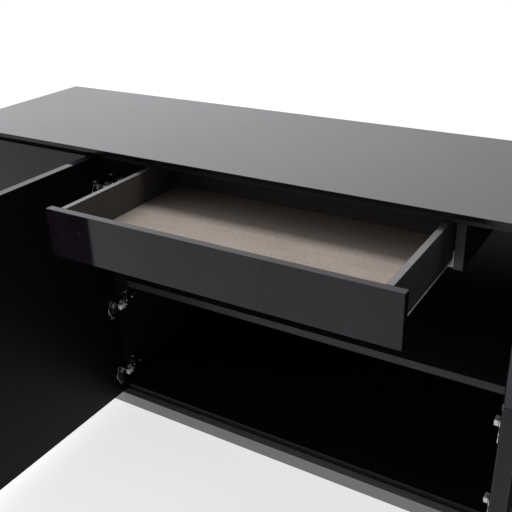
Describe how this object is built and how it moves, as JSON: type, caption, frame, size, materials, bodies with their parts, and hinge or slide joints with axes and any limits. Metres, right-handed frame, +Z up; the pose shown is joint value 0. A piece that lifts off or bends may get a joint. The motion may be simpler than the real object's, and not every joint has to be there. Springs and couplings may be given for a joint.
{
  "type": "sideboard",
  "caption": "Long low sideboard with plain hinged doors under an overhanging top, a recessed plinth, shelves and an inner drawer on side runners behind the centre doors.",
  "frame": {"origin": "on the floor, at the middle of the underside of the plinth's front board, halfway along the cabinet", "axes": "+X to the right seen from the front, +Y towards the back, +Z up. The doors and the drawer open towards -Y"},
  "size_m": [2.076, 1.0075, 0.772],
  "materials": {
    "top_finish": "satin lacquered board, dark grey",
    "front_finish": "semi-gloss lacquered board, near black",
    "carcass_finish": "matt black-brown board",
    "shelf_finish": "matt grey-brown board",
    "plinth_finish": "satin light grey",
    "drawer_finish": "matt dark brown board",
    "drawer_bottom_finish": "matt taupe woodgrain panel",
    "nickel": "bright nickel plate",
    "runner_steel": "white coated steel"
  },
  "bodies": {
    "cabinet": {"top_slab": "top_finish", "carcass_top": "carcass_finish", "bottom_board": "carcass_finish", "side_panel_left": "carcass_finish", "side_panel_right": "carcass_finish", "divider_left": "carcass_finish", "divider_right": "carcass_finish", "back_panel": "carcass_finish", "shelf_centre": "shelf_finish", "shelf_left": "shelf_finish", "shelf_right": "shelf_finish", "plinth_front": "plinth_finish", "plinth_back": "plinth_finish", "plinth_left": "plinth_finish", "plinth_right": "plinth_finish", "hanger_left": "shelf_finish", "hanger_right": "shelf_finish", "cabinet_runner_left": "runner_steel", "cabinet_runner_right": "runner_steel", "hinge_arm_outer_left_1": "nickel", "hinge_arm_outer_left_2": "nickel", "hinge_arm_outer_left_3": "nickel", "hinge_arm_centre_left_1": "nickel", "hinge_arm_centre_left_2": "nickel", "hinge_arm_centre_left_3": "nickel", "hinge_arm_outer_right_1": "nickel", "hinge_arm_outer_right_2": "nickel", "hinge_arm_outer_right_3": "nickel", "hinge_arm_centre_right_1": "nickel", "hinge_arm_centre_right_2": "nickel", "hinge_arm_centre_right_3": "nickel"},
    "door_outer_left": {"door_outer_left": "front_finish", "hinge_cup_outer_left_1": "nickel", "hinge_cup_outer_left_2": "nickel", "hinge_cup_outer_left_3": "nickel"},
    "door_centre_left": {"door_centre_left": "front_finish", "hinge_cup_centre_left_1": "nickel", "hinge_cup_centre_left_2": "nickel", "hinge_cup_centre_left_3": "nickel"},
    "door_outer_right": {"door_outer_right": "front_finish", "hinge_cup_outer_right_1": "nickel", "hinge_cup_outer_right_2": "nickel", "hinge_cup_outer_right_3": "nickel"},
    "door_centre_right": {"door_centre_right": "front_finish", "hinge_cup_centre_right_1": "nickel", "hinge_cup_centre_right_2": "nickel", "hinge_cup_centre_right_3": "nickel"},
    "drawer": {"drawer_front": "front_finish", "drawer_side_left": "drawer_finish", "drawer_side_right": "drawer_finish", "drawer_bottom": "drawer_bottom_finish", "drawer_back": "drawer_finish", "drawer_runner_left": "runner_steel", "drawer_runner_right": "runner_steel"}
  },
  "joints": [
    {"name": "door_outer_left_hinge", "type": "hinge", "parent": "cabinet", "child": "door_outer_left", "pos_m": [-1.03, -0.011, 0.3935], "axis": [0, 0, -1], "range_deg": [0, 105]},
    {"name": "door_centre_left_hinge", "type": "hinge", "parent": "cabinet", "child": "door_centre_left", "pos_m": [-0.533, -0.007, 0.3935], "axis": [0, 0, -1], "range_deg": [-10, 15]},
    {"name": "door_outer_right_hinge", "type": "hinge", "parent": "cabinet", "child": "door_outer_right", "pos_m": [1.03, -0.011, 0.3935], "axis": [0, 0, 1], "range_deg": [0, 105]},
    {"name": "door_centre_right_hinge", "type": "hinge", "parent": "cabinet", "child": "door_centre_right", "pos_m": [0.5266, -0.007, 0.3935], "axis": [0, 0, 1], "range_deg": [-10, 5]},
    {"name": "drawer_slide", "type": "slide", "parent": "cabinet", "child": "drawer", "axis": [0, -1, 0], "range_m": [-0.312, 0.03]}
  ]
}
